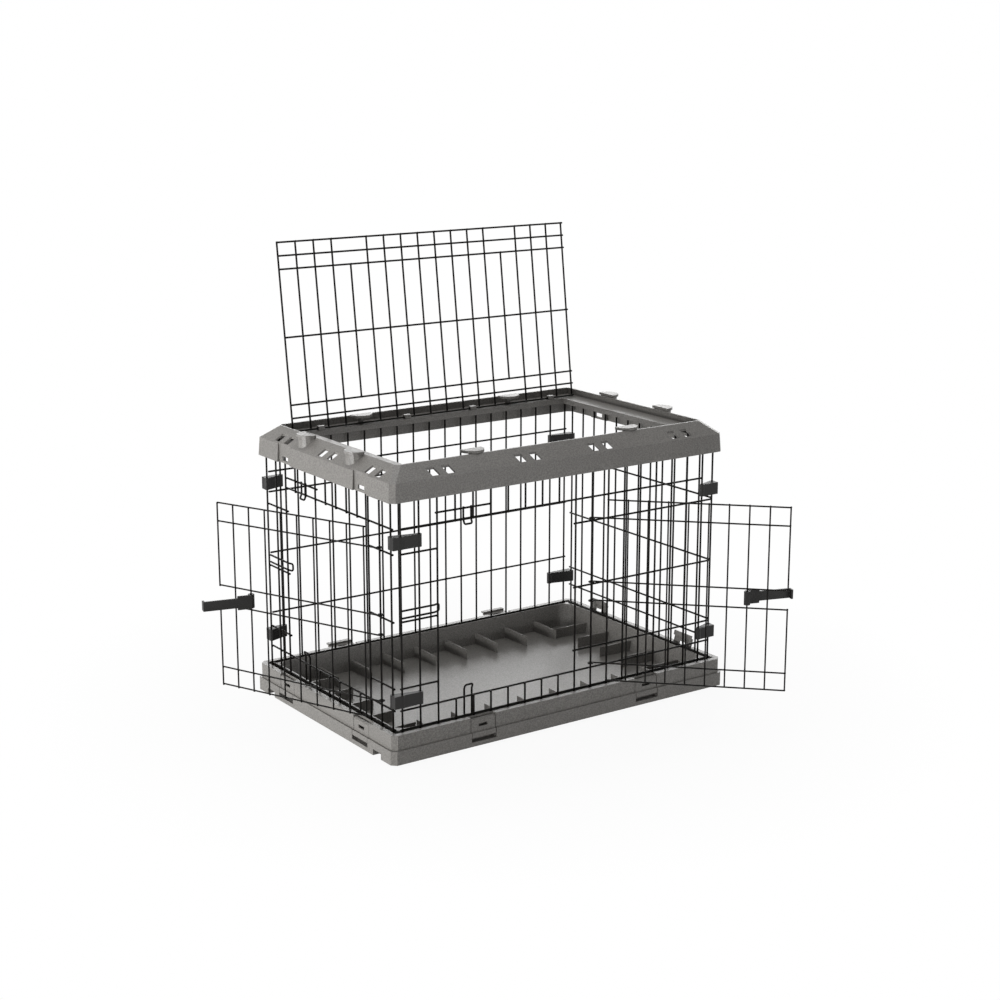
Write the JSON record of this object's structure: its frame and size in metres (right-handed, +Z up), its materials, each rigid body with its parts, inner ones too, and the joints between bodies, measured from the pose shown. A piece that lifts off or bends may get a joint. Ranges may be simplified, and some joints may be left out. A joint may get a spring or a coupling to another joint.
{
  "type": "wire dog crate",
  "caption": "Folding wire dog crate with a moulded tray and top ring, welded wire walls, a hinged wire roof, hinged doors with latches, base clips and turn knobs.",
  "frame": {"origin": "centre of the tray's underside, on the floor", "axes": "+X along the crate's length towards the end with no door, +Z up, front doorway towards -Y"},
  "size_m": [0.9919, 0.7926, 0.9072],
  "materials": {
    "grey_plastic": "fine moulded grain",
    "black_wire": "satin black coating",
    "black_plastic": "matte"
  },
  "bodies": {
    "crate": {"base_tray": "grey_plastic", "top_ring": "grey_plastic", "front_panel": "black_wire", "back_panel": "black_wire", "left_end_panel": "black_wire", "right_end_panel": "black_wire", "corner_clip_back_left_lower": "black_plastic", "corner_clip_back_left_upper": "black_plastic", "corner_clip_back_right_lower": "black_plastic", "corner_clip_back_right_upper": "black_plastic", "corner_clip_front_left_lower": "black_plastic", "corner_clip_front_left_upper": "black_plastic", "corner_clip_front_right_lower": "black_plastic", "corner_clip_front_right_upper": "black_plastic"},
    "roof": {"roof_panel": "black_wire"},
    "front_door": {"front_door": "black_wire"},
    "left_door": {"left_door": "black_wire"},
    "front_latch": {"front_latch": "black_plastic"},
    "left_latch": {"left_latch": "black_plastic"},
    "knob_front_left": {"knob_front_left": "grey_plastic"},
    "knob_front_right": {"knob_front_right": "grey_plastic"},
    "knob_back_left": {"knob_back_left": "grey_plastic"},
    "knob_back_right": {"knob_back_right": "grey_plastic"},
    "knob_left_front": {"knob_left_front": "grey_plastic"},
    "knob_left_back": {"knob_left_back": "grey_plastic"},
    "knob_right_front": {"knob_right_front": "grey_plastic"},
    "knob_right_back": {"knob_right_back": "grey_plastic"},
    "base_clip_front_low": {"base_clip_front_low": "grey_plastic"},
    "base_clip_front_high": {"base_clip_front_high": "grey_plastic"},
    "base_clip_back_low": {"base_clip_back_low": "grey_plastic"},
    "base_clip_back_high": {"base_clip_back_high": "grey_plastic"},
    "base_clip_left_low": {"base_clip_left_low": "grey_plastic"},
    "base_clip_left_high": {"base_clip_left_high": "grey_plastic"},
    "base_clip_right_low": {"base_clip_right_low": "grey_plastic"},
    "base_clip_right_high": {"base_clip_right_high": "grey_plastic"}
  },
  "joints": [
    {"name": "roof_hinge", "type": "hinge", "parent": "crate", "child": "roof", "pos_m": [0, 0.184, 0.54], "axis": [1, 0, 0], "range_deg": [0, 97.2]},
    {"name": "front_door_hinge", "type": "hinge", "parent": "crate", "child": "front_door", "pos_m": [0.06767, -0.24335, 0.25], "axis": [0, 0, 1], "range_deg": [-135, 15]},
    {"name": "left_door_hinge", "type": "hinge", "parent": "crate", "child": "left_door", "pos_m": [-0.37785, -0.19417, 0.25], "axis": [0, 0, 1], "range_deg": [-23.3, 126.7]},
    {"name": "front_latch_pivot", "type": "hinge", "parent": "front_door", "child": "front_latch", "pos_m": [0.28424, -0.44929, 0.25], "axis": [0, 0, 1], "range_deg": [-28, 62]},
    {"name": "left_latch_pivot", "type": "hinge", "parent": "left_door", "child": "left_latch", "pos_m": [-0.50174, 0.07451, 0.25], "axis": [0, 0, 1], "range_deg": [-53, 37]},
    {"name": "knob_front_left_turn", "type": "hinge", "parent": "crate", "child": "knob_front_left", "pos_m": [-0.18053, -0.1994, 0.55], "axis": [0, 0, 1], "range_deg": [0, 180]},
    {"name": "knob_front_right_turn", "type": "hinge", "parent": "crate", "child": "knob_front_right", "pos_m": [0.18053, -0.1994, 0.55], "axis": [0, 0, 1], "range_deg": [0, 180]},
    {"name": "knob_back_left_turn", "type": "hinge", "parent": "crate", "child": "knob_back_left", "pos_m": [-0.18053, 0.1994, 0.55], "axis": [0, 0, 1], "range_deg": [0, 180]},
    {"name": "knob_back_right_turn", "type": "hinge", "parent": "crate", "child": "knob_back_right", "pos_m": [0.18053, 0.1994, 0.55], "axis": [0, 0, 1], "range_deg": [0, 180]},
    {"name": "knob_left_front_turn", "type": "hinge", "parent": "crate", "child": "knob_left_front", "pos_m": [-0.3604, -0.089, 0.55], "axis": [0, 0, 1], "range_deg": [0, 180]},
    {"name": "knob_left_back_turn", "type": "hinge", "parent": "crate", "child": "knob_left_back", "pos_m": [-0.3604, 0.089, 0.55], "axis": [0, 0, 1], "range_deg": [0, 180]},
    {"name": "knob_right_front_turn", "type": "hinge", "parent": "crate", "child": "knob_right_front", "pos_m": [0.3604, -0.089, 0.55], "axis": [0, 0, 1], "range_deg": [0, 180]},
    {"name": "knob_right_back_turn", "type": "hinge", "parent": "crate", "child": "knob_right_back", "pos_m": [0.3604, 0.089, 0.55], "axis": [0, 0, 1], "range_deg": [0, 180]},
    {"name": "base_clip_front_low_hinge", "type": "hinge", "parent": "crate", "child": "base_clip_front_low", "pos_m": [-0.196, -0.254, 0.048], "axis": [-1, 0, 0], "range_deg": [0, 165]},
    {"name": "base_clip_front_high_hinge", "type": "hinge", "parent": "crate", "child": "base_clip_front_high", "pos_m": [0.196, -0.254, 0.048], "axis": [-1, 0, 0], "range_deg": [0, 165]},
    {"name": "base_clip_back_low_hinge", "type": "hinge", "parent": "crate", "child": "base_clip_back_low", "pos_m": [0.196, 0.254, 0.048], "axis": [1, 0, 0], "range_deg": [-92, 73]},
    {"name": "base_clip_back_high_hinge", "type": "hinge", "parent": "crate", "child": "base_clip_back_high", "pos_m": [-0.196, 0.254, 0.048], "axis": [1, 0, 0], "range_deg": [-92, 73]},
    {"name": "base_clip_left_low_hinge", "type": "hinge", "parent": "crate", "child": "base_clip_left_low", "pos_m": [-0.3885, 0.143, 0.048], "axis": [0, 1, 0], "range_deg": [0, 105]},
    {"name": "base_clip_left_high_hinge", "type": "hinge", "parent": "crate", "child": "base_clip_left_high", "pos_m": [-0.3885, -0.143, 0.048], "axis": [0, 1, 0], "range_deg": [0, 105]},
    {"name": "base_clip_right_low_hinge", "type": "hinge", "parent": "crate", "child": "base_clip_right_low", "pos_m": [0.3885, -0.143, 0.048], "axis": [0, -1, 0], "range_deg": [-165, 0]},
    {"name": "base_clip_right_high_hinge", "type": "hinge", "parent": "crate", "child": "base_clip_right_high", "pos_m": [0.3885, 0.143, 0.048], "axis": [0, -1, 0], "range_deg": [-165, 0]}
  ]
}
